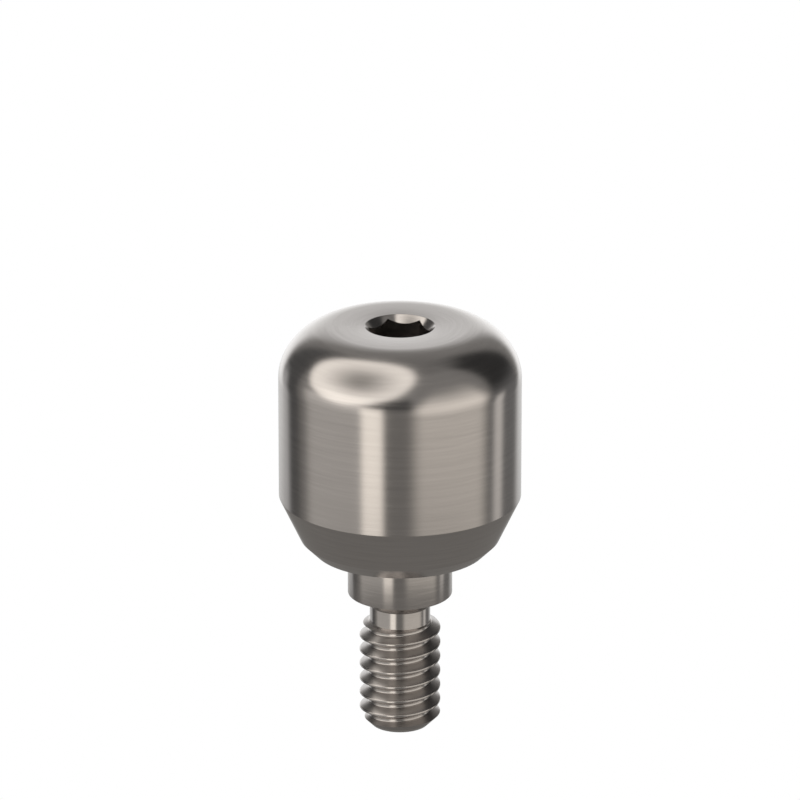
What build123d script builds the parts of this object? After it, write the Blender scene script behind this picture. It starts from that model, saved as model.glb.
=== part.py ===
from build123d import *
import math
import os

os.makedirs("parts", exist_ok=True)

# One turned titanium piece. Millimetres, axis on Z.
# z = 0 is the seat: the flat ring that lands on the implant's rim.
# The head is above the seat, the locating collar and the thread hang below it.

# Head: the part that shapes the gum
body_diameter = 5.50
head_height = 5.33          # seat to the flat top
top_edge_size = 1.22        # the round starts this far in from the corner, both ways
round_end_radius = 1.06     # first and last arc of that round, its middle arc is flatter
round_end_angle = 25.0      # how far each of those two arcs turns
cone_height = 1.30          # seat to the foot of the cylinder
bevel_height = 0.295        # 45 degree bevel between the seat and the cone
seat_diameter = 3.96

# Locating collar and the plain neck under it
implant_bore_diameter = 2.44
collar_clearance = 0.06     # on the diameter, so it drops in without binding
collar_length = 1.09
undercut_height = 0.30      # 45 degree cone from the collar's face to the neck
neck_diameter = 1.38
neck_foot_depth = 1.775     # seat to the start of the thread's lead cone

# Thread: right hand, one start, 60 degree flanks
thread_diameter = 1.85
thread_pitch = 0.35
crest_share = 0.125         # width of the flat crest, in pitches
root_share = 0.20           # width of the flat root, in pitches
flank_angle = 60.0          # between the two flanks of a groove
lead_angle = 30.0           # lead cone at the top of the thread, from level
tip_depth = 4.31            # seat to the flat tip
tip_diameter = 1.31         # small end of the 45 degree tip chamfer
front_crest_height = 0.155  # one crest on the -Y side, above the tip

# How the thread's groove is cut
cutter_margin = 0.02        # how far the groove cutter stands off the crest
cutter_overruns = (1.0, 1.2, 1.4)   # how far it starts under the tip, in pitches
top_overrun = 0.35          # how far it runs out above the lead cone, in pitches
seam_angles = (210, 0, 270, 180, 240, 300, 330, 30, 60, 90, 120, 150)
shells = 500                # for summing the groove's volume
volume_tolerance = 0.01     # of that volume

# Driver socket in the top
driver_width = 1.25         # across the flats of the hexagonal driver
socket_clearance = 0.01
socket_depth = 1.50         # flat top to the end of the hexagon
socket_turn = 7.8           # one flat's middle, clockwise from +Y seen from above
countersink_diameter = 1.59
pilot_extra_depth = 0.25    # straight part of the pilot hole past the hexagon
drill_point_angle = 118.0

# Sizes that follow from the ones above
body_radius = body_diameter / 2
seat_radius = seat_diameter / 2
bevel_radius = seat_radius + bevel_height
collar_radius = (implant_bore_diameter - collar_clearance) / 2
neck_radius = neck_diameter / 2
undercut_radius = neck_radius + undercut_height
crest_radius = thread_diameter / 2
tip_radius = tip_diameter / 2
half_flank = math.radians(flank_angle / 2)
groove_top_width = thread_pitch * (1 - crest_share)
groove_root_width = thread_pitch * root_share
thread_depth = (groove_top_width - groove_root_width) / 2 / math.tan(half_flank)
root_radius = crest_radius - thread_depth
socket_width = driver_width + socket_clearance


def arc_points(centre, radius, first_angle, last_angle):
    """Start, middle and end of an arc, with angles in degrees up from level."""
    angles = (first_angle, (first_angle + last_angle) / 2, last_angle)
    return [
        (
            centre[0] + radius * math.cos(math.radians(angle)),
            centre[1] + radius * math.sin(math.radians(angle)),
        )
        for angle in angles
    ]


def top_edge_arcs():
    """The head's round as three arcs that run smoothly into each other."""
    sine = math.sin(math.radians(round_end_angle))
    cosine = math.cos(math.radians(round_end_angle))
    end_share = round_end_radius * (1 - cosine + sine)
    middle_radius = (top_edge_size - end_share) / (cosine - sine)
    inset = middle_radius - round_end_radius
    low_centre = (body_radius - round_end_radius, head_height - top_edge_size)
    middle_centre = (low_centre[0] - inset * cosine, low_centre[1] - inset * sine)
    top_centre = (body_radius - top_edge_size, head_height - round_end_radius)
    top_angle = 90 - round_end_angle
    return [
        arc_points(low_centre, round_end_radius, 0, round_end_angle),
        arc_points(middle_centre, middle_radius, round_end_angle, top_angle),
        arc_points(top_centre, round_end_radius, top_angle, 90),
    ]


def turned_blank():
    """The whole outside as it leaves the lathe, before the thread and the socket."""
    lead_drop = (crest_radius - neck_radius) * math.tan(math.radians(lead_angle))
    chamfer_height = crest_radius - tip_radius
    arcs = top_edge_arcs()
    round_start = arcs[0][0]
    round_end = arcs[2][2]

    with BuildSketch(Plane.XZ) as half_section:
        with BuildLine():
            Polyline(
                (0, head_height),
                (0, -tip_depth),
                (tip_radius, -tip_depth),
                (crest_radius, -tip_depth + chamfer_height),
                (crest_radius, -neck_foot_depth - lead_drop),
                (neck_radius, -neck_foot_depth),
                (neck_radius, -collar_length - undercut_height),
                (undercut_radius, -collar_length),
                (collar_radius, -collar_length),
                (collar_radius, 0),
                (seat_radius, 0),
                (bevel_radius, bevel_height),
                (body_radius, cone_height),
                round_start,
            )
            for start, middle, end in arcs:
                ThreePointArc(start, middle, end)
            Line(round_end, (0, head_height))
        make_face()
    return revolve(half_section.sketch, axis=Axis.Z)


def groove_cutter(overrun):
    """The thread's groove as one helical solid, longer than the thread at both ends."""
    bottom = -tip_depth - thread_pitch * overrun
    top = -neck_foot_depth + thread_pitch * top_overrun
    groove_height = -tip_depth + front_crest_height + thread_pitch / 2
    start_angle = -90 + 360 * (bottom - groove_height) / thread_pitch

    outer_radius = crest_radius + cutter_margin
    outer_half = groove_top_width / 2 + cutter_margin * math.tan(half_flank)
    root_half = groove_root_width / 2
    path = Helix(pitch=thread_pitch, height=top - bottom, radius=root_radius)
    with BuildSketch(Plane.XZ) as profile:
        with BuildLine():
            Polyline(
                (root_radius, -root_half),
                (outer_radius, -outer_half),
                (outer_radius, outer_half),
                (root_radius, root_half),
                close=True,
            )
        make_face()
    ridge = sweep(profile.sketch, path=path, is_frenet=True)
    return Pos(0, 0, bottom) * Rot(0, 0, start_angle) * ridge


def driver_socket():
    """Hexagon, its pilot hole with a drill point, and the countersink over both."""
    corner_radius = socket_width / math.sqrt(3)
    pilot_radius = socket_width / 2
    pilot_depth = socket_depth + pilot_extra_depth
    point_height = pilot_radius / math.tan(math.radians(drill_point_angle / 2))
    rim_radius = countersink_diameter / 2
    lift = 0.1

    hexagon = extrude(
        Plane.XY.offset(head_height - socket_depth)
        * Rot(0, 0, 60 - socket_turn)
        * RegularPolygon(corner_radius, 6),
        socket_depth + lift,
    )
    with BuildSketch(Plane.XZ) as half_section:
        with BuildLine():
            Polyline(
                (0, head_height + lift),
                (0, head_height - pilot_depth - point_height),
                (pilot_radius, head_height - pilot_depth),
                (pilot_radius, head_height - rim_radius + pilot_radius),
                (rim_radius + lift, head_height + lift),
                close=True,
            )
        make_face()
    return hexagon + revolve(half_section.sketch, axis=Axis.Z)


def groove_volume():
    """The metal the groove takes out, summed over thin shells round the axis."""
    thickness = thread_depth / shells
    volume = 0.0
    for shell in range(shells):
        radius = root_radius + (shell + 0.5) * thickness
        width = groove_root_width + 2 * (radius - root_radius) * math.tan(half_flank)
        lead_drop = max(0, radius - neck_radius) * math.tan(math.radians(lead_angle))
        chamfer_rise = max(0, radius - tip_radius)
        length = tip_depth - chamfer_rise - neck_foot_depth - lead_drop
        volume += 2 * math.pi * radius * thickness * length * width / thread_pitch
    return volume


def threaded_blank():
    """The blank with its groove. Each try cuts fresh shapes, until exactly the groove is gone."""
    expected = groove_volume()
    for overrun in cutter_overruns:
        for seam_angle in seam_angles:
            blank = Rot(0, 0, seam_angle) * turned_blank()
            whole = blank.volume
            try:
                threaded = blank - groove_cutter(overrun)
                error = whole - threaded.volume - expected
            except ValueError:
                continue
            if threaded.is_valid and abs(error) < volume_tolerance * expected:
                return threaded
    raise ValueError("the thread groove could not be cut with these sizes")


healing_abutment = threaded_blank() - driver_socket()

export_step(healing_abutment, "parts/healing_abutment.step")
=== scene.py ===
# %% [markdown]
# # A turned titanium healing abutment
#
# This lesson dresses one small dental part. A healing abutment is screwed into an implant while
# the gum heals round it. It is turned from a single bar of titanium on a small lathe: a rounded
# head, a straight collar that centres it in the implant, a plain neck and a fine screw thread. A
# driver turns it by a hexagonal socket in the top.
#
# The CAD model is the fixed frame. It is true in size, but its mesh has flat facets, which a
# polished metal shows at once. So the lesson turns the same part again with finer facets, in the
# same place, and then gives it the finish of fresh turned metal.

# %% Load the frame
import math

import bmesh
import bpy
from mathutils import Matrix, Vector


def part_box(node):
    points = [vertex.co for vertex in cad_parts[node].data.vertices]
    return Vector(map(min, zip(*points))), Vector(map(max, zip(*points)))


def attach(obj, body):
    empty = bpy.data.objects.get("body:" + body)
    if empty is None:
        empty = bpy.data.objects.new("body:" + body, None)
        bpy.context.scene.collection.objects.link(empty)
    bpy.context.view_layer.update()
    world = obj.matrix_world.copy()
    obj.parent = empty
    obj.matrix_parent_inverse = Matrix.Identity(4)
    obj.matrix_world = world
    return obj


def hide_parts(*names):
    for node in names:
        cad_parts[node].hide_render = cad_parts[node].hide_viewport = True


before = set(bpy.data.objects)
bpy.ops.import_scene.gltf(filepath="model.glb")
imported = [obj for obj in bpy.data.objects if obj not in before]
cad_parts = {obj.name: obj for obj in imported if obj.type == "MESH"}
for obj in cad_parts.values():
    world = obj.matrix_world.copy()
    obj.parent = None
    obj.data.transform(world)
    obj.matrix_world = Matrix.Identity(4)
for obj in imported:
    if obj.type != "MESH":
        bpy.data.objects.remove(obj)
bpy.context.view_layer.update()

NODE = "healing_abutment"
low_corner, high_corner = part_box(NODE)
print("the CAD part reaches from", low_corner, "to", high_corner)

# %% [markdown]
# ## The sizes of the part
#
# Every length is in metres, the unit of the scene. The head's height and the depth of the tip are
# read from the frame, so they follow the CAD part. The other sizes belong to the turner's drawing:
# a radius is given for what the lathe turns, and a height is measured up from the seat, the flat
# ring that lands on the implant. The head's round is three arcs: two equal ones at its ends and a
# flatter one between them, whose radius follows from the others. Points closer than a ten
# thousandth of a millimetre count as the same place.

# %% Turning sizes
MM = 0.001
SAME_PLACE = 1e-7

body_radius = 2.75 * MM
head_height = high_corner[2]
tip_depth = -low_corner[2]

top_edge_size = 1.22 * MM
round_end_radius = 1.06 * MM
round_end_angle = math.radians(25)
cone_height = 1.30 * MM
bevel_height = 0.295 * MM
seat_radius = 1.98 * MM
bevel_radius = seat_radius + bevel_height

collar_radius = 1.19 * MM
collar_length = 1.09 * MM
undercut_height = 0.30 * MM
neck_radius = 0.69 * MM
neck_foot_depth = 1.775 * MM
undercut_radius = neck_radius + undercut_height

print("head", round(body_radius / MM * 2, 3), "mm wide,", round(head_height / MM, 3), "mm high")

# %% [markdown]
# ## The socket sizes
#
# The driver is 1.25 mm across its flats. The socket leaves it a hundredth of a millimetre. A drill
# makes the pilot hole, a punch squares it to a hexagon, and a countersink opens the rim. Radii to
# the corners of the hexagon are longer than the radius to its flats.

# %% Socket sizes
socket_width = 1.26 * MM
socket_depth = 1.50 * MM
socket_turn = math.radians(7.8)
flat_radius = socket_width / 2
corner_radius = socket_width / math.sqrt(3)
countersink_radius = 0.795 * MM
pilot_extra_depth = 0.25 * MM
drill_point_angle = math.radians(118)
point_height = flat_radius / math.tan(drill_point_angle / 2)

print("corner of the hexagon", round(corner_radius / MM, 3), "mm from the axis")

# %% [markdown]
# ## A chain of points with rounded corners
#
# A turned part is one half-section swung about its axis. The half-section is drawn as a chain of
# edges. A vertex bevel then rounds the corners: for a corner between two straight edges, a round
# of radius r starts r times the tangent of half the turn away from the corner. Even a crisp edge
# on real metal has such a round, a few hundredths of a millimetre wide, and it is what catches
# the light.

# %% Chain and corner helpers
def chain(mesh, points):
    """Join (radius, height) points into a chain of edges in the XZ plane."""
    corners = [mesh.verts.new((radius, 0, height)) for radius, height in points]
    for first, second in zip(corners, corners[1:]):
        mesh.edges.new((first, second))
    return corners


def round_corner(mesh, corner, radius, segments):
    """Round one corner of a chain to an arc of the given radius."""
    before, after = [edge.other_vert(corner).co - corner.co for edge in corner.link_edges]
    turn = math.pi - before.angle(after)
    bmesh.ops.bevel(
        mesh, geom=[corner], affect="VERTICES", offset=radius * math.tan(turn / 2),
        offset_type="OFFSET", segments=segments, profile=0.5, material=-1,
    )


share = round(math.tan(math.radians(90) / 2), 3)
print("in a right corner, a round starts", share, "of its radius from the corner")

# %% [markdown]
# ## The head's round
#
# Each arc starts where the one before it ends, and in the same direction, so that no line shows
# between them. The inner arc's centre lies further in, by the difference of the two radii.

# %% Points of the round
END_ARC_STEPS = 14
MIDDLE_ARC_STEPS = 20


def arc(centre, radius, first_angle, last_angle, steps):
    """Points of an arc, without its last one. Angles are measured up from level."""
    angles = [first_angle + (last_angle - first_angle) * step / steps for step in range(steps)]
    return [
        (centre[0] + radius * math.cos(angle), centre[1] + radius * math.sin(angle))
        for angle in angles
    ]


def top_edge_points():
    """The round from the flat top down to the cylinder."""
    sine = math.sin(round_end_angle)
    cosine = math.cos(round_end_angle)
    end_share = round_end_radius * (1 - cosine + sine)
    middle_radius = (top_edge_size - end_share) / (cosine - sine)
    inset = middle_radius - round_end_radius
    top_centre = (body_radius - top_edge_size, head_height - round_end_radius)
    low_centre = (body_radius - round_end_radius, head_height - top_edge_size)
    middle_centre = (low_centre[0] - inset * cosine, low_centre[1] - inset * sine)
    level, upright = 0, math.pi / 2
    top_angle = upright - round_end_angle
    points = arc(top_centre, round_end_radius, upright, top_angle, END_ARC_STEPS)
    points += arc(middle_centre, middle_radius, top_angle, round_end_angle, MIDDLE_ARC_STEPS)
    points += arc(low_centre, round_end_radius, round_end_angle, level, END_ARC_STEPS)
    return points + [(body_radius, head_height - top_edge_size)]


print("the head's round has", len(top_edge_points()), "points")

# %% [markdown]
# ## Turning the body
#
# The chain runs from the drill point up the socket, over the head, down past the collar and ends
# where the neck meets the thread. The spin makes the round faces. Its number of steps is a
# multiple of six, so that every corner of the hexagon falls on a step.

# %% Turn the body
STEPS = 288
ROUND_SEGMENTS = 3
crisp = 0.012 * MM
shoulder_round = 0.036 * MM
rim_at_corner = head_height - (countersink_radius - corner_radius)


def full_turn(mesh):
    """Swing a chain right round the axis, and merge what falls together."""
    bmesh.ops.spin(
        mesh, geom=mesh.verts[:] + mesh.edges[:], cent=(0, 0, 0), axis=(0, 0, 1),
        dvec=(0, 0, 0), angle=math.tau, steps=STEPS, use_merge=True,
    )
    bmesh.ops.remove_doubles(mesh, verts=mesh.verts, dist=SAME_PLACE / 10)


def turned_body():
    """Everything above the thread, turned from one chain."""
    mesh = bmesh.new()
    socket_floor = head_height - socket_depth
    pilot_floor = socket_floor - pilot_extra_depth
    socket_points = [
        (0, pilot_floor - point_height),
        (flat_radius, pilot_floor),
        (flat_radius, socket_floor),
        (corner_radius, socket_floor),
        (corner_radius, rim_at_corner),
        (countersink_radius, head_height),
    ]
    lower_points = [
        (body_radius, cone_height),
        (bevel_radius, bevel_height),
        (seat_radius, 0),
        (collar_radius, 0),
        (collar_radius, -collar_length),
        (undercut_radius, -collar_length),
        (neck_radius, -collar_length - undercut_height),
        (neck_radius, -neck_foot_depth),
    ]
    corners = chain(mesh, socket_points + top_edge_points() + lower_points)
    rim = corners[len(socket_points) - 1]
    shoulder, bevel_top, bevel_foot, _, collar_foot = corners[-len(lower_points):][:5]
    for corner in (rim, bevel_top, bevel_foot, collar_foot):
        round_corner(mesh, corner, crisp, ROUND_SEGMENTS)
    round_corner(mesh, shoulder, shoulder_round, ROUND_SEGMENTS)
    full_turn(mesh)
    return mesh


body_mesh = turned_body()
print("the turned body has", len(body_mesh.faces), "faces")

# %% [markdown]
# ## Punching the hexagon
#
# The spin left a round wall as wide as the hexagon's corners. Between two corners the wall is
# drawn in to the flat, and where it meets the countersink it slides down the cone. That leaves the
# scalloped edge that every countersunk hexagon has.

# %% Punch the hexagon
def hexagon_radius(angle):
    """Distance from the axis to the hexagon's wall, with a corner at angle 0."""
    from_flat = (angle % math.radians(60)) - math.radians(30)
    return flat_radius / math.cos(from_flat)


def turn_to_socket(mesh):
    """Turn a mesh with a corner at angle 0 to where the socket's corner lies."""
    turn = Matrix.Rotation(math.radians(60) - socket_turn, 3, "Z")
    bmesh.ops.rotate(mesh, verts=mesh.verts, cent=(0, 0, 0), matrix=turn)


def punch(mesh):
    """Draw the round socket wall in to the hexagon."""
    wall = [
        vertex for vertex in mesh.verts
        if abs(vertex.co.xy.length - corner_radius) < SAME_PLACE and vertex.co.z > 0
    ]
    for vertex in wall:
        reach = hexagon_radius(math.atan2(vertex.co.y, vertex.co.x))
        drawn_in = reach / vertex.co.xy.length
        if abs(vertex.co.z - rim_at_corner) < SAME_PLACE:
            vertex.co.z -= corner_radius - reach
        vertex.co.x *= drawn_in
        vertex.co.y *= drawn_in
    turn_to_socket(mesh)
    return len(wall)


print("punched", punch(body_mesh), "points of the socket wall")

# %% [markdown]
# ## The thread's sizes
#
# The thread is right hand with one start. Its flanks stand 60 degrees to each other, its crest is
# an eighth of the pitch wide and its root a fifth. A cutting tool leaves small rounds at the
# crest's edges and in the root.

# %% Thread sizes
crest_radius = 0.925 * MM
pitch = 0.35 * MM
crest_share = 0.125
root_share = 0.20
half_flank_angle = math.radians(30)
lead_angle = math.radians(30)
tip_radius = 0.655 * MM
front_crest_height = 0.155 * MM

half_crest = pitch * crest_share / 2
half_root = pitch * root_share / 2
flank_width = pitch / 2 - half_crest - half_root
root_radius = crest_radius - flank_width / math.tan(half_flank_angle)
crest_round = 0.010 * MM
root_round = 0.025 * MM

print("thread depth", round((crest_radius - root_radius) / MM, 4), "mm")

# %% [markdown]
# ## Winding the thread
#
# A spin that also climbs is a screw. One pitch of the thread's outline, from the middle of one
# root to the middle of the next, is swung ten times round while it climbs one pitch a turn. Each
# turn starts where the last one ended, so merging the doubles closes the root. The two open ends
# are drawn together at the axis, which makes the screw a solid. It starts two turns below the
# tip, and one crest lies at the front at a measured height, which sets where all the others lie.

# %% Wind the thread
TURNS = 10
TURNS_BELOW_TIP = 2
STEPS_PER_TURN = 144
weld_distance = 6e-7


def close_end(mesh, going_up):
    """Draw one open end of the screw together at the axis."""
    heights = [vertex.co.z for vertex in mesh.verts]
    middle = (min(heights) + max(heights)) / 2
    open_edges = [edge for edge in mesh.edges if edge.is_boundary]
    rim = [edge for edge in open_edges if (edge.verts[0].co.z > middle) == going_up]
    height = sum(edge.verts[0].co.z for edge in rim) / len(rim)
    made = bmesh.ops.extrude_edge_only(mesh, edges=rim)["geom"]
    drawn = [item for item in made if isinstance(item, bmesh.types.BMVert)]
    bmesh.ops.pointmerge(mesh, verts=drawn, merge_co=(0, 0, height))


def wound_thread():
    """A screw of whole turns, longer than the thread at both ends."""
    mesh = bmesh.new()
    first_crest = -tip_depth + front_crest_height - TURNS_BELOW_TIP * pitch
    corners = chain(mesh, [
        (root_radius, first_crest - pitch / 2),
        (root_radius, first_crest - pitch / 2 + half_root),
        (crest_radius, first_crest - half_crest),
        (crest_radius, first_crest + half_crest),
        (root_radius, first_crest + pitch / 2 - half_root),
        (root_radius, first_crest + pitch / 2),
    ])
    _, root_end, crest_start, crest_end, root_start, _ = corners
    for corner in (crest_start, crest_end):
        round_corner(mesh, corner, crest_round, ROUND_SEGMENTS)
    for corner in (root_end, root_start):
        round_corner(mesh, corner, root_round, ROUND_SEGMENTS)
    to_front = Matrix.Rotation(-math.pi / 2, 3, "Z")
    bmesh.ops.rotate(mesh, verts=mesh.verts, cent=(0, 0, 0), matrix=to_front)
    bmesh.ops.spin(
        mesh, geom=mesh.verts[:] + mesh.edges[:], cent=(0, 0, 0), axis=(0, 0, 1),
        dvec=(0, 0, pitch / STEPS_PER_TURN), angle=math.tau * TURNS,
        steps=TURNS * STEPS_PER_TURN, use_merge=False,
    )
    bmesh.ops.remove_doubles(mesh, verts=mesh.verts, dist=weld_distance)
    close_end(mesh, going_up=False)
    close_end(mesh, going_up=True)
    bmesh.ops.recalc_face_normals(mesh, faces=mesh.faces)
    return mesh


thread_mesh = wound_thread()
open_edges = [edge for edge in thread_mesh.edges if not edge.is_manifold]
print("the screw has", len(thread_mesh.faces), "faces and", len(open_edges), "open edges")

# %% [markdown]
# ## The lead cone and the tip
#
# On the lathe, the ends of the thread are turned before the thread is cut: a flat cone below the
# neck and a 45 degree chamfer at the tip. Here a spun envelope with those two ends trims the
# screw. A Boolean keeps what lies in both, so the thread runs out as it does on metal. Between its
# ends the envelope stands off the crest, so that it cuts nothing there.

# %% Trim the thread
envelope_margin = 0.05 * MM


def as_object(name, mesh):
    """Put a bmesh in an object at the origin."""
    data = bpy.data.meshes.new(name)
    mesh.to_mesh(data)
    mesh.free()
    piece = bpy.data.objects.new(name, data)
    bpy.context.scene.collection.objects.link(piece)
    return piece


def thread_envelope():
    """What the lathe leaves for the thread: a lead cone, a margin past the crest, a chamfer."""
    mesh = bmesh.new()
    outside = crest_radius + envelope_margin
    lead_drop = (outside - neck_radius) * math.tan(lead_angle)
    chamfer_height = outside - tip_radius
    chain(mesh, [
        (0, -neck_foot_depth),
        (neck_radius, -neck_foot_depth),
        (outside, -neck_foot_depth - lead_drop),
        (outside, -tip_depth + chamfer_height),
        (tip_radius, -tip_depth),
        (0, -tip_depth),
    ])
    full_turn(mesh)
    bmesh.ops.recalc_face_normals(mesh, faces=mesh.faces)
    turn_to_socket(mesh)
    return mesh


def trimmed(screw, envelope):
    """The part of the screw inside the envelope, as a new bmesh."""
    trim = screw.modifiers.new("trim", "BOOLEAN")
    trim.operation = "INTERSECT"
    trim.solver = "EXACT"
    trim.object = envelope
    graph = bpy.context.evaluated_depsgraph_get()
    mesh = bmesh.new()
    mesh.from_mesh(bpy.data.meshes.new_from_object(screw.evaluated_get(graph)))
    for helper in (screw, envelope):
        bpy.data.objects.remove(helper)
    return mesh


screw_object = as_object("screw", thread_mesh)
envelope_object = as_object("envelope", thread_envelope())
trimmed_mesh = trimmed(screw_object, envelope_object)
print("the trimmed thread has", len(trimmed_mesh.faces), "faces")

# %% [markdown]
# ## One piece of metal
#
# The trimmed thread ends in a flat disc of the same ring of points as the neck. The disc is taken
# away, both meshes go into one, and merging the doubled ring welds them. Edges sharper than a
# third of a right angle stay crisp, all others are shaded round.

# %% Weld the neck to the thread
sharp_angle = math.radians(30)


def open_disc(thread):
    """Take away the flat disc on the thread's upper end."""
    disc = [
        face for face in thread.faces
        if all(abs(vertex.co.z + neck_foot_depth) < SAME_PLACE for vertex in face.verts)
    ]
    bmesh.ops.delete(thread, geom=disc, context="FACES")
    stray = [vertex for vertex in thread.verts if not vertex.link_faces]
    bmesh.ops.delete(thread, geom=stray, context="VERTS")


def welded(body, thread):
    """The body and the thread as one closed mesh."""
    open_disc(thread)
    for mesh_part in (body, thread):
        ring = [edge for edge in mesh_part.edges if edge.is_boundary]
        print("joining ring of", len(ring), "edges")
    lower = bpy.data.meshes.new("lower")
    thread.to_mesh(lower)
    thread.free()
    body.from_mesh(lower)
    bmesh.ops.remove_doubles(body, verts=body.verts, dist=SAME_PLACE)
    bmesh.ops.recalc_face_normals(body, faces=body.faces)
    for face in body.faces:
        face.smooth = True
    for edge in body.edges:
        edge.smooth = edge.is_manifold and edge.calc_face_angle() < sharp_angle
    return body


whole_mesh = welded(body_mesh, trimmed_mesh)
open_edges = [edge for edge in whole_mesh.edges if not edge.is_manifold]
volume = whole_mesh.calc_volume() / MM ** 3
print("one piece:", len(whole_mesh.faces), "faces and", len(open_edges), "open edges")
print("its volume is", round(volume, 2), "cubic millimetres")

# %% [markdown]
# ## Shading the flat faces flat
#
# Round shading bends the light near every edge, flat faces too. A weighted normal lets the
# larger face decide, so the flats and the cone stay even beside their narrow rounds. The result
# is kept in the mesh, and the modifier goes.

# %% Settle the shading
def settle_normals(piece):
    """Weight the shading by face area, and keep the result in the mesh."""
    weighting = piece.modifiers.new("weighting", "WEIGHTED_NORMAL")
    weighting.keep_sharp = True
    weighting.weight = 50
    graph = bpy.context.evaluated_depsgraph_get()
    settled = bpy.data.meshes.new_from_object(piece.evaluated_get(graph))
    piece.modifiers.clear()
    piece.data = settled


abutment = as_object("turned_abutment", whole_mesh)
settle_normals(abutment)
triangles = sum(len(face.vertices) - 2 for face in abutment.data.polygons)
print("turned_abutment has", triangles, "triangles")

# %% [markdown]
# ## Shader maths
#
# A small class wraps a socket, so that shader maths reads like ordinary maths. Each operator adds
# one Math node. Every other node comes from one method that takes the node's type, its settings
# and the values or links of its sockets. Some nodes have several outputs, which are told apart by
# their place in the node.

# %% Socket class
GENERATED = 0
OBJECT = 3
IS_CAMERA_RAY = 0


class Value:
    """A shader socket that adds Math nodes when it is used in an expression."""

    def __init__(self, shader, socket):
        self.shader = shader
        self.socket = socket

    def maths(self, operation, *others):
        return self.shader.node("ShaderNodeMath", {"operation": operation}, self, *others)

    def __add__(self, other):
        return self.maths("ADD", other)

    def __sub__(self, other):
        return self.maths("SUBTRACT", other)

    def __rsub__(self, other):
        return self.shader.node("ShaderNodeMath", {"operation": "SUBTRACT"}, other, self)

    def __mul__(self, other):
        return self.maths("MULTIPLY", other)

    def __truediv__(self, other):
        return self.maths("DIVIDE", other)

    def __pow__(self, other):
        return self.maths("POWER", other)

    __radd__ = __add__
    __rmul__ = __mul__


class Shader:
    """A node tree that is built by expressions."""

    def __init__(self, owner):
        owner.use_nodes = True
        self.tree = owner.node_tree
        self.tree.nodes.clear()

    def node(self, kind, settings=None, *values, out=0, **named):
        made = self.tree.nodes.new(kind)
        for name, setting in (settings or {}).items():
            setattr(made, name, setting)
        open_inputs = [socket for socket in made.inputs if socket.enabled]
        by_name = {socket.name: socket for socket in reversed(open_inputs)}
        pairs = list(zip(open_inputs, values))
        pairs += [(by_name[name.replace("_", " ")], value) for name, value in named.items()]
        for socket, value in pairs:
            if isinstance(value, Value):
                self.tree.links.new(value.socket, socket)
            else:
                socket.default_value = value
        return Value(self, [socket for socket in made.outputs if socket.enabled][out])

    def finish(self, kind, **named):
        made = self.tree.nodes.new(kind)
        for name, value in named.items():
            self.tree.links.new(value.socket, made.inputs[name])


# %% [markdown]
# ## Turned titanium
#
# Fresh titanium is a warm grey metal, darker than steel. The lathe's tool leaves fine rings round
# the part. They spread each highlight along the axis and leave it narrow round the part, which an
# anisotropic gloss does better than any number of modelled rings. The coarser ones also show as
# faint lines, so a fine and a broad pattern change the tone, the gloss and the height a little.
# Both follow the height and the distance from the axis, with many rings to the millimetre, and
# waver slowly with the angle. The flanks of the thread are painted a little darker, as painted
# shade for the light lost in the grooves between its turns, and they are a little duller too.

# %% Turned titanium
dark_titanium = (0.545, 0.514, 0.496, 1)
light_titanium = (0.575, 0.544, 0.526, 1)
fine_stretch = (21, 1.4, 6)
broad_stretch = (9, 0.5, 1)
ring_height = 0.0022 * MM
flank_edge = 0.020
crest_inset = 0.012
root_inset = 0.008


def ring_pattern(s, place, stretch, **noise):
    """Noise drawn out into rings. Place and stretch: along the surface, angle, radius."""
    stretched = [value * factor for value, factor in zip(place, stretch)]
    rings = s.node("ShaderNodeCombineXYZ", None, *stretched)
    return s.node("ShaderNodeTexNoise", None, rings, Scale=1.0, **noise)


def flank_mask(s, radius, height):
    """1 on the thread's flanks, 0 on its crest, its root and the rest. In millimetres."""
    outer = crest_radius / MM - crest_inset
    inner = root_radius / MM + root_inset
    under_crest = s.node(
        "ShaderNodeMapRange", None, radius, outer - flank_edge, outer, 1.0, 0.0,
    )
    over_root = s.node(
        "ShaderNodeMapRange", None, radius, inner, inner + flank_edge, 0.0, 1.0,
    )
    on_thread = s.node(
        "ShaderNodeMath", {"operation": "LESS_THAN"}, height, -neck_foot_depth / MM,
    )
    return under_crest * over_root * on_thread


def turned_titanium():
    """The finish of fresh turned titanium."""
    material = bpy.data.materials.new("turned_titanium")
    s = Shader(material)
    place = s.node("ShaderNodeTexCoord", out=OBJECT)
    x, y, z = [s.node("ShaderNodeSeparateXYZ", None, place, out=axis) for axis in range(3)]
    radius = (x * x + y * y) ** 0.5 / MM
    height = z / MM
    angle = s.node("ShaderNodeMath", {"operation": "ARCTAN2"}, y, x)

    ring_place = (height + radius * 0.83, angle, radius)
    fine = ring_pattern(s, ring_place, fine_stretch, Detail=3.0, Roughness=0.65)
    broad = ring_pattern(s, ring_place, broad_stretch, Detail=2.0)
    cloud = s.node("ShaderNodeTexNoise", None, place, Scale=900.0, Detail=3.0)
    flank = flank_mask(s, radius, height)

    plain = s.node("ShaderNodeMix", {"data_type": "RGBA"}, cloud, dark_titanium, light_titanium)
    # The flanks are darkened a fifth: painted shade for the light lost in the thread's grooves.
    tone = (0.84 + fine * 0.24 + broad * 0.08) * (1 - flank * 0.2)
    toned = s.node("ShaderNodeVectorMath", {"operation": "SCALE"}, plain, Scale=tone)
    bump = s.node(
        "ShaderNodeBump", None, Strength=0.25, Distance=ring_height, Height=fine + broad * 0.6,
    )
    surface = s.node(
        "ShaderNodeBsdfPrincipled", None, Base_Color=toned, Metallic=1.0,
        Roughness=0.13 + fine * 0.08 + cloud * 0.04 + flank * 0.12,
        Anisotropic=0.55, Anisotropic_Rotation=0.25, Normal=bump,
    )
    s.finish("ShaderNodeOutputMaterial", Surface=surface)
    return material


titanium = turned_titanium()
print("finish:", titanium.name, "with", len(titanium.node_tree.nodes), "nodes")
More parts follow.
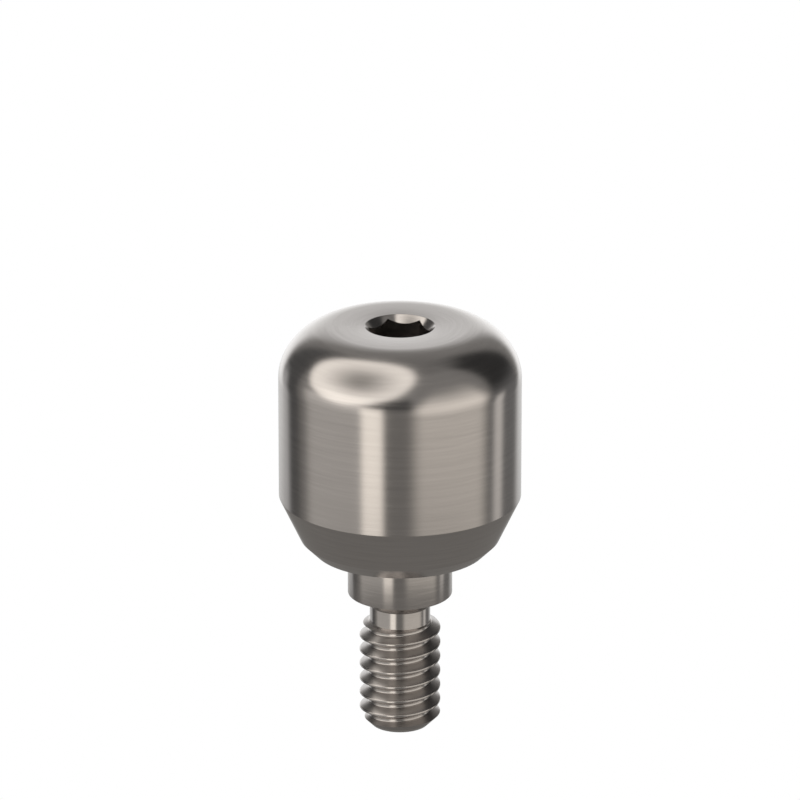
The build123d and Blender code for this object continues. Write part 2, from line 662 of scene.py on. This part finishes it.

# %% [markdown]
# ## In place of the CAD part
#
# The fine mesh rides on the same body as the CAD part and stands in for it. Both wear the same
# finish.

# %% Replace the CAD part
abutment.data.materials.clear()
abutment.data.materials.append(titanium)
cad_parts[NODE].data.materials.clear()
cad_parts[NODE].data.materials.append(titanium)
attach(abutment, "root")
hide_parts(NODE)
print(abutment.name, "stands in for", NODE)

# %% [markdown]
# ## The room
#
# Polished metal has little colour of its own: it shows the room. The room here is a plain grey
# studio with a few soft panels. Area lights could do the same. But what the metal mirrors at a
# point depends only on a direction, so it is easier to paint the light where it is seen: in the
# world, as a function of direction. In a world, Generated coordinates are the direction itself. It
# has a bearing, 0 at the front and growing to the right, and a rise over the horizon, both in
# degrees. A panel is a soft box in bearing and rise, and each is laid over the light made so far.

# %% Room of directions
DEGREES = 180 / math.pi


def shade(brightness, warmth=0.0):
    """A light's colour: 0 is neutral, more is warmer."""
    return (brightness * (1 + warmth), brightness, brightness * (1 - 1.6 * warmth), 1)


class Room(Shader):
    """A world's node tree, with light as a function of direction."""

    def __init__(self, world):
        super().__init__(world)
        self.way = self.node("ShaderNodeTexCoord", out=GENERATED)
        x, y, z = [
            self.node("ShaderNodeSeparateXYZ", None, self.way, out=axis) for axis in range(3)
        ]
        self.bearing = self.node("ShaderNodeMath", {"operation": "ARCTAN2"}, x, y * -1) * DEGREES
        self.rise = self.node("ShaderNodeMath", {"operation": "ARCSINE"}, z) * DEGREES

    def ramp(self, value, start, end):
        """0 up to the start, 1 from the end on, smooth between them."""
        settings = {"interpolation_type": "SMOOTHSTEP"}
        return self.node("ShaderNodeMapRange", settings, value, start, end, 0.0, 1.0)

    def panel(self, left, right, low, high, side_soft, end_soft):
        """1 inside the given bearings and rises, 0 outside, with soft sides and ends."""
        mask = self.ramp(self.bearing, left - side_soft, left + side_soft)
        mask = mask * (1 - self.ramp(self.bearing, right - side_soft, right + side_soft))
        mask = mask * self.ramp(self.rise, low - end_soft, low + end_soft)
        return mask * (1 - self.ramp(self.rise, high - end_soft, high + end_soft))

    def lay(self, light, mask, colour):
        """Lay a panel of the given colour over the light made so far."""
        return self.node("ShaderNodeMix", {"data_type": "RGBA"}, mask, light, colour)

    def off_way(self, bearing, rise):
        """The angle between each direction and the given one, in degrees."""
        turn, lift = math.radians(bearing), math.radians(rise)
        centre = Vector((
            math.sin(turn) * math.cos(lift), -math.cos(turn) * math.cos(lift), math.sin(lift),
        ))
        facing = self.node("ShaderNodeVectorMath", {"operation": "DOT_PRODUCT"}, self.way, centre)
        return self.node("ShaderNodeMath", {"operation": "ARCCOSINE"}, facing) * DEGREES


print("a warm light of strength 1:", shade(1.0, 0.05))

# %% [markdown]
# ## Walls and the panels in front
#
# The walls are dim, a little brighter above the horizon and dimmer again overhead. A wide warm
# panel at the front right fills that side of the part. The higher it is, the narrower it gets, as
# a panel that leans back does. Left of the front stands a bright strip, and beyond it a dimmer
# panel. Both end near the horizon, and above it a dark gap lies across the front.

# %% Walls and front panels
def walls(room):
    """The plain room, in three tones from the floor to the ceiling."""
    low_wall, high_wall, ceiling = shade(0.21, 0.03), shade(0.26, 0.02), shade(0.20, 0.02)
    light = room.lay(low_wall, room.ramp(room.rise, -20, 30), high_wall)
    return room.lay(light, room.ramp(room.rise, 58, 74), ceiling)


def right_fill(room, light):
    """The wide panel at the front right, brighter from its middle up."""
    above = room.node("ShaderNodeMath", {"operation": "MAXIMUM"}, room.rise, 0.0)
    fill = room.ramp(room.bearing - above * 0.48, 5, 23)
    fill = fill * (1 - room.ramp(room.bearing + above * 0.40, 79, 96))
    fill = fill * room.ramp(room.rise, -32, -25) * (1 - room.ramp(room.rise, -5, 45))
    glow = room.lay(shade(0.66, 0.05), room.ramp(room.rise, -20, -3), shade(1.03, 0.05))
    return room.lay(light, fill, glow)


def front_panels(room, light):
    """The dark gap at the front, the dimmer panel at the left and the bright strip."""
    gap = room.panel(left=-26, right=11, low=0, high=26, side_soft=4, end_soft=6)
    light = room.lay(light, gap, shade(0.07))
    left_fill = room.panel(left=-99, right=-32, low=-30, high=6, side_soft=8, end_soft=4)
    left_glow = room.lay(shade(0.52, 0.03), room.ramp(room.rise, -16, 4), shade(0.72, 0.03))
    light = room.lay(light, left_fill, left_glow)
    strip = room.panel(left=-37, right=-16, low=-30, high=1, side_soft=4, end_soft=4)
    return room.lay(light, strip, shade(1.37, 0.05))


lights = [right_fill, front_panels]
print("lights so far:", [light.__name__ for light in lights])

# %% [markdown]
# ## Flags at the sides and light from behind
#
# Dark flags at both sides draw the dark lines near the edges of the part. The right one has a
# narrow slit that lets a line of light through. Behind the part, a bright wall lights the flat top
# and the outermost edges. The wall is widest at its foot.

# %% Flags and back wall
def side_flags(room, light):
    """A dark flag at each side, with some spill at the left and a slit in the right one."""
    left_flag = room.panel(left=-145, right=-111, low=-27, high=76, side_soft=6, end_soft=8)
    light = room.lay(light, left_flag, shade(0.09))
    spill = room.panel(left=-142, right=-131, low=-27, high=0, side_soft=6, end_soft=5)
    light = room.lay(light, spill, shade(0.50))
    right_flag = room.panel(left=95, right=141, low=-26, high=63, side_soft=6, end_soft=14)
    flag_tone = room.lay(shade(0.18), room.ramp(room.rise, -14, 14), shade(0.04))
    light = room.lay(light, right_flag, flag_tone)
    slit = room.panel(left=101, right=114, low=-27, high=-10, side_soft=5, end_soft=4)
    return room.lay(light, slit, shade(0.76, 0.03))


def back_wall(room, light):
    """The bright wall behind the part, narrower the higher it is."""
    lean = (room.rise + 10) * 0.40
    left_side = room.ramp(room.bearing + lean, -152, -137)
    right_side = 1 - room.ramp(room.bearing - lean, 141, 158)
    wall = 1 - left_side * right_side
    wall = wall * room.ramp(room.rise, -31, -10) * (1 - room.ramp(room.rise, -6, 50))
    return room.lay(light, wall, (1.22, 1.23, 1.23, 1))


lights += [side_flags, back_wall]
print("lights so far:", [light.__name__ for light in lights])

# %% [markdown]
# ## Key light
#
# The key is a large soft light high at the left. From the part it is an ellipse: the sum of the
# angles to its two focuses is the same all along its edge. It is dim in the middle, where the
# lamp's own housing hides the cloth, and brightest at its lower rim.

# %% Key light
key_focuses = ((-38, 61), (-69, 32))
key_reach = 46
key_soft = 4
housing_way = (-53, 51)
lower_rim_way = (-50, 0)


def key_light(room, light):
    """The large ellipse high at the left."""
    rim_share = room.ramp(room.off_way(*housing_way), 0, 42)
    low_share = 1 - room.ramp(room.off_way(*lower_rim_way), 15, 45)
    glow = (0.36 + rim_share * 0.99) * (1 + low_share * 0.28)
    colour = shade(1.0, 0.04)[:3]
    key = room.node("ShaderNodeVectorMath", {"operation": "SCALE"}, colour, Scale=glow)
    first, second = [room.off_way(*focus) for focus in key_focuses]
    off_key = (first + second) / 2
    inside = 1 - room.ramp(off_key, key_reach - key_soft, key_reach + key_soft)
    return room.lay(light, inside, key)


lights += [key_light]
print("the key light is", 2 * key_reach, "degrees long")

# %% [markdown]
# ## Studio world
#
# The lights are laid one over the other. The camera sees a white background, and only the metal
# sees the room.

# %% Studio world
def studio():
    """The world, with every light laid over the walls."""
    world = bpy.data.worlds.new("studio")
    bpy.context.scene.world = world
    room = Room(world)
    light = walls(room)
    for lay_on in lights:
        light = lay_on(room, light)
    seen = room.node("ShaderNodeLightPath", out=IS_CAMERA_RAY)
    shown = room.node("ShaderNodeMix", {"data_type": "RGBA"}, seen, light, (1, 1, 1, 1))
    glow = room.node("ShaderNodeBackground", None, shown, 1.0)
    room.finish("ShaderNodeOutputWorld", Surface=glow)
    return world


studio_world = studio()
print(studio_world.name, "world with", len(studio_world.node_tree.nodes), "nodes")

# %% [markdown]
# ## Floor
#
# The floor is white and lies under the tip. To the camera it is plain white without a shadow, as
# on a light table, and the metal looks past it to the room.

# %% Floor
floor_reach = 3
floor_gap = 0.01 * MM


def floor():
    """A wide floor, plain white to the camera and unseen by the metal."""
    mesh = bmesh.new()
    bmesh.ops.create_grid(mesh, x_segments=1, y_segments=1, size=floor_reach)
    bmesh.ops.translate(mesh, verts=mesh.verts, vec=(0, 0, -tip_depth - floor_gap))
    ground = as_object("floor", mesh)
    material = bpy.data.materials.new("floor_white")
    s = Shader(material)
    lit = s.node("ShaderNodeBsdfDiffuse", None, (0.8, 0.8, 0.8, 1))
    plain = s.node("ShaderNodeEmission", None, (1, 1, 1, 1), 1.0)
    seen = s.node("ShaderNodeLightPath", out=IS_CAMERA_RAY)
    surface = s.node("ShaderNodeMixShader", None, seen, lit, plain)
    s.finish("ShaderNodeOutputMaterial", Surface=surface)
    ground.data.materials.append(material)
    ground.visible_glossy = False
    return ground


white_floor = floor()
print(white_floor.name, "lies", floor_gap / MM, "mm under the tip")

# %% [markdown]
# ## Camera
#
# The photograph looks down on the part from about 16 centimetres away, through a long lens.

# %% Camera
FRAME_WIDTH = 800
SENSOR_WIDTH = 36
focal_pixels = 7045.7
camera_distance = 149.42 * MM
camera_height = 58.38 * MM
camera_pitch = math.radians(20.15)

camera_data = bpy.data.cameras.new("camera")
camera_data.sensor_width = SENSOR_WIDTH
camera_data.lens = focal_pixels / FRAME_WIDTH * SENSOR_WIDTH
camera_data.clip_start = 0.001
camera_data.clip_end = 10
camera = bpy.data.objects.new("camera", camera_data)
camera.location = (0, -camera_distance, camera_height)
camera.rotation_euler = (math.pi / 2 - camera_pitch, 0, 0)
bpy.context.scene.collection.objects.link(camera)
bpy.context.scene.camera = camera
bpy.context.scene.view_settings.view_transform = "Standard"
print("lens", round(camera_data.lens, 1), "mm on a", SENSOR_WIDTH, "mm sensor")
